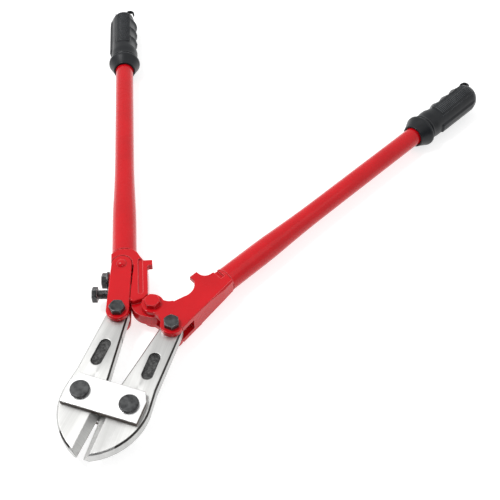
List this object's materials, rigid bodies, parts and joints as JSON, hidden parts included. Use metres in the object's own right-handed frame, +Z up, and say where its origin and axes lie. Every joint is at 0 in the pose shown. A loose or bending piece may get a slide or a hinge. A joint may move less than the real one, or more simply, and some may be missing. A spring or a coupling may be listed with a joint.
{
  "type": "bolt cutters",
  "caption": "Long-handled bolt cutters with tubular handles, moulded grips, an adjustable side link and bevelled jaws tied together by side plates.",
  "frame": {"origin": "on the central pivot's axis, at the underside of its bolt and nut, which is the plane the tool lies on", "axes": "+Z up, square to the flat of the tool; +Y midway between the two handles, toward the grips, with the jaws toward -Y; +X toward the right handle"},
  "size_m": [0.4551, 0.5687, 0.0343],
  "materials": {
    "red_paint": "gloss paint",
    "ground_steel": "ground steel",
    "black_steel": "blackened",
    "dark_steel": "oiled",
    "black_grip": "moulded"
  },
  "bodies": {
    "handle_right": {"yoke_right": "red_paint", "tube_right": "red_paint", "grip_right": "black_grip", "pivot_bolt": "red_paint", "pivot_nut": "red_paint", "tail_bolt": "black_steel", "tail_nut": "dark_steel"},
    "handle_left": {"yoke_left": "red_paint", "tube_left": "red_paint", "grip_left": "black_grip", "link_plate_upper": "red_paint", "link_plate_lower": "red_paint", "link_block": "red_paint", "link_rivet": "red_paint", "link_bolt": "black_steel", "link_nut": "dark_steel", "adjuster_washer": "black_steel"},
    "jaw_left": {"jaw_left": "ground_steel"},
    "strap": {"strap_upper": "ground_steel", "strap_lower": "ground_steel", "strap_bolt_left": "black_steel", "strap_bolt_right": "black_steel", "strap_nut_left": "dark_steel", "strap_nut_right": "dark_steel"},
    "jaw_right": {"jaw_right": "ground_steel"},
    "adjuster_upper": {"adjuster_upper": "black_steel"},
    "adjuster_lower": {"adjuster_lower": "black_steel"}
  },
  "joints": [
    {"name": "handles", "type": "hinge", "parent": "handle_right", "child": "handle_left", "pos_m": [0, 0, 0.017], "axis": [0, 0, 1], "range_deg": [-50.4, 18]},
    {"name": "left_jaw_tail", "type": "hinge", "parent": "handle_left", "child": "jaw_left", "pos_m": [-0.02716, -0.01698, 0.017], "axis": [0, 0, -1], "range_deg": [-27.1, 9.7]},
    {"name": "left_jaw_strap", "type": "hinge", "parent": "jaw_left", "child": "strap", "pos_m": [-0.02002, -0.10389, 0.017], "axis": [0, 0, 1], "range_deg": [-3.23, 1.16]},
    {"name": "right_jaw_strap", "type": "hinge", "parent": "strap", "child": "jaw_right", "pos_m": [0.02445, -0.10225, 0.017], "axis": [0, 0, 1], "range_deg": [-3.23, 1.16]},
    {"name": "upper_adjuster", "type": "slide", "parent": "handle_left", "child": "adjuster_upper", "axis": [-0.9323, -0.3616, 0], "range_m": [0, 0.004]},
    {"name": "lower_adjuster", "type": "slide", "parent": "handle_left", "child": "adjuster_lower", "axis": [-0.9323, -0.3616, 0], "range_m": [0, 0.006]}
  ],
  "couplings": [
    {"joint": "left_jaw_tail", "follows": "handles", "ratio": 0.5375},
    {"joint": "left_jaw_strap", "follows": "handles", "ratio": 0.064},
    {"joint": "right_jaw_strap", "follows": "handles", "ratio": 0.064}
  ]
}
